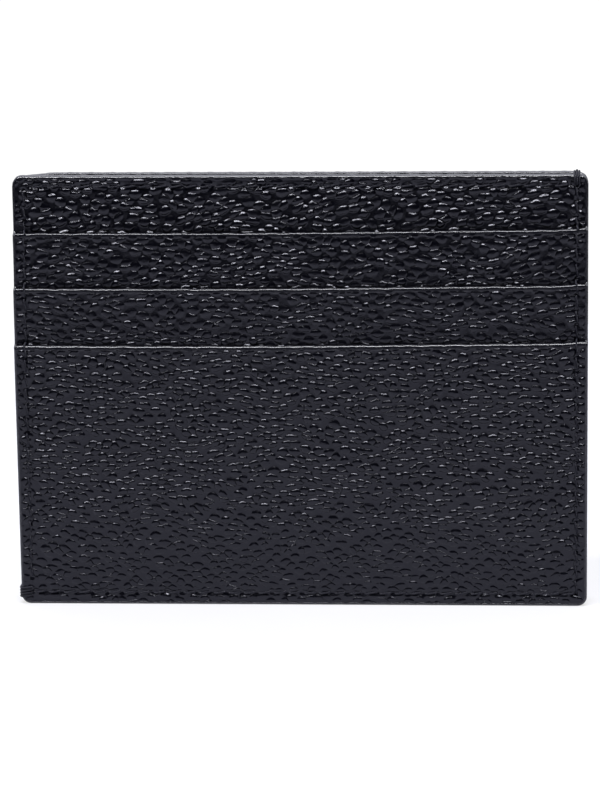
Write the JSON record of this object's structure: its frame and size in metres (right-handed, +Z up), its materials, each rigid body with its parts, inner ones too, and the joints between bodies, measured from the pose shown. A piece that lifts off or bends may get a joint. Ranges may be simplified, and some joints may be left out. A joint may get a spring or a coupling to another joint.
{
  "type": "card holder",
  "caption": "Slim pebbled-leather card holder with stepped front card slots, a centre pocket open at the top and a plain back.",
  "frame": {"origin": "middle of the bottom edge, on the surface the holder stands on", "axes": "+X to the right along the width, +Z up towards the pocket openings, -Y the way the front card slots face"},
  "size_m": [0.1004, 0.0074, 0.0768],
  "materials": {
    "leather": "black pebble-grained calf leather with a semi-gloss finish",
    "lining": "black fine plain-weave lining",
    "edge_paint": "smooth satin black edge paint",
    "thread": "black twisted polyester sewing thread"
  },
  "bodies": {
    "root": {"front_base_panel": "leather", "upper_pocket_strip": "leather", "middle_pocket_strip": "leather", "lower_front_pocket": "leather", "back_panel": "leather", "upper_pocket_lining": "lining", "middle_pocket_lining": "lining", "lower_pocket_lining": "lining", "centre_pocket_front_lining": "lining", "centre_pocket_rear_lining": "lining", "front_wall_edge_paint": "edge_paint", "back_wall_edge_paint": "edge_paint", "upper_slot_edge_paint": "edge_paint", "middle_slot_edge_paint": "edge_paint", "lower_slot_edge_paint": "edge_paint", "left_edge_paint": "edge_paint", "right_edge_paint": "edge_paint", "bottom_edge_paint": "edge_paint", "main_seam_needle_thread": "thread", "main_seam_bobbin_thread": "thread", "left_seam_needle_thread": "thread", "left_seam_bobbin_thread": "thread", "front_wall_seam_needle_thread": "thread", "front_wall_seam_bobbin_thread": "thread", "back_wall_seam_needle_thread": "thread", "back_wall_seam_bobbin_thread": "thread"}
  },
  "joints": []
}
